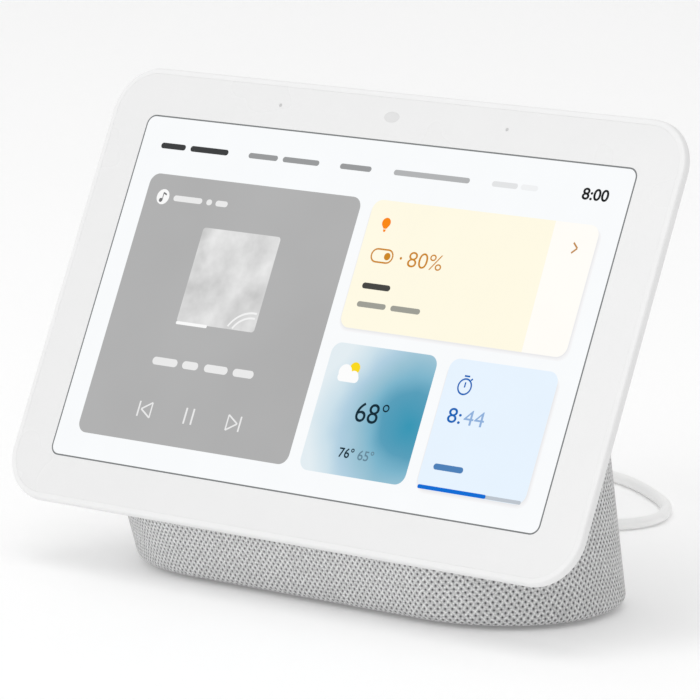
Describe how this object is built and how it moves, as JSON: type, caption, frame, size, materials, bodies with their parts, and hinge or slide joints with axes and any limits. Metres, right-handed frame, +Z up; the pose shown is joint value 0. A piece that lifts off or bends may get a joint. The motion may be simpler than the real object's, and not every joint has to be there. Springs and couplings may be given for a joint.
{
  "type": "smart display",
  "caption": "Table-top smart display: a leaning touch screen on a fabric-covered speaker base, with its supply lead.",
  "frame": {"origin": "on the table, in the middle of the device's width and depth without its supply lead", "axes": "+X to the right seen from the front, +Y to the back, +Z up; the screen faces -Y and leans back 25.5 degrees"},
  "size_m": [0.1774, 0.1762, 0.1203],
  "materials": {
    "printed_glass": "gloss",
    "white_plastic": "satin",
    "grey_knit": "knitted",
    "shell_plastic": "matte",
    "dark_plastic": "matte",
    "grey_rubber": "matte",
    "black_foam": "matte",
    "cord_jacket": "satin",
    "panel_glass": "gloss",
    "clear_film": "gloss",
    "circuit_board": "satin",
    "copper_flex": "satin",
    "copper_wire": "satin",
    "aluminium_sheet": "satin",
    "plated_steel": "satin",
    "raw_steel": "satin",
    "magnet_ceramic": "matte",
    "paper_cone": "matte",
    "gap_pad": "matte",
    "wire_jacket": "satin"
  },
  "bodies": {
    "device": {"cover_glass": "printed_glass", "glass_adhesive": "black_foam", "touch_sensor": "clear_film", "lcd_panel": "panel_glass", "backlight": "white_plastic", "mid_frame": "aluminium_sheet", "mid_frame_screws": "plated_steel", "main_board": "circuit_board", "processor_shield": "plated_steel", "radio_shield": "plated_steel", "thermal_pad": "gap_pad", "heat_spreader": "aluminium_sheet", "radar_board": "circuit_board", "light_sensor_board": "circuit_board", "microphone_left": "circuit_board", "microphone_right": "circuit_board", "microphone_gaskets": "black_foam", "rear_microphone": "circuit_board", "antennas": "copper_flex", "display_ribbon": "copper_flex", "rear_housing": "white_plastic", "mute_switch": "dark_plastic", "rocker_pin": "plated_steel", "volume_bracket": "dark_plastic", "volume_switches": "plated_steel", "anchor_plate": "plated_steel", "neck_screws": "plated_steel", "base_housing": "shell_plastic", "fabric_sleeve": "grey_knit", "speaker_frame": "raw_steel", "speaker_magnet": "magnet_ceramic", "speaker_yoke": "plated_steel", "speaker_surround": "black_foam", "speaker_spider": "paper_cone", "speaker_gasket": "black_foam", "speaker_screws": "plated_steel", "speaker_wires": "wire_jacket", "harness": "cord_jacket", "ballast": "raw_steel", "power_board": "circuit_board", "dc_jack": "dark_plastic", "base_plate": "dark_plastic", "base_screws": "plated_steel", "rubber_foot": "grey_rubber", "dc_plug": "white_plastic", "plug_relief": "cord_jacket", "cord_run": "cord_jacket", "cord_coil": "cord_jacket", "cord_tie": "dark_plastic", "cord_tail": "cord_jacket", "adapter_relief": "cord_jacket", "adapter_case": "white_plastic", "adapter_cover": "white_plastic", "adapter_board": "circuit_board", "adapter_blades": "plated_steel"},
    "mute_slider": {"mute_slider": "white_plastic"},
    "volume_rocker": {"volume_rocker": "white_plastic"},
    "diaphragm": {"speaker_cone": "paper_cone", "voice_coil": "copper_wire"}
  },
  "joints": [
    {"name": "microphone_switch", "type": "slide", "parent": "device", "child": "mute_slider", "axis": [1, 0, 0], "range_m": [0, 0.0024]},
    {"name": "volume_rock", "type": "hinge", "parent": "device", "child": "volume_rocker", "pos_m": [0.07471, 0.00326, 0.07819], "axis": [-0.9336, 0.3235, -0.1543], "range_deg": [-1.5, 1.5], "stiffness_Nm_per_rad": 0.5},
    {"name": "cone_stroke", "type": "slide", "parent": "device", "child": "diaphragm", "axis": [0, 0.9889, 0.1483], "range_m": [-0.0015, 0.0015], "stiffness_N_per_m": 1500, "deforming": ["speaker_surround", "speaker_spider"]}
  ]
}
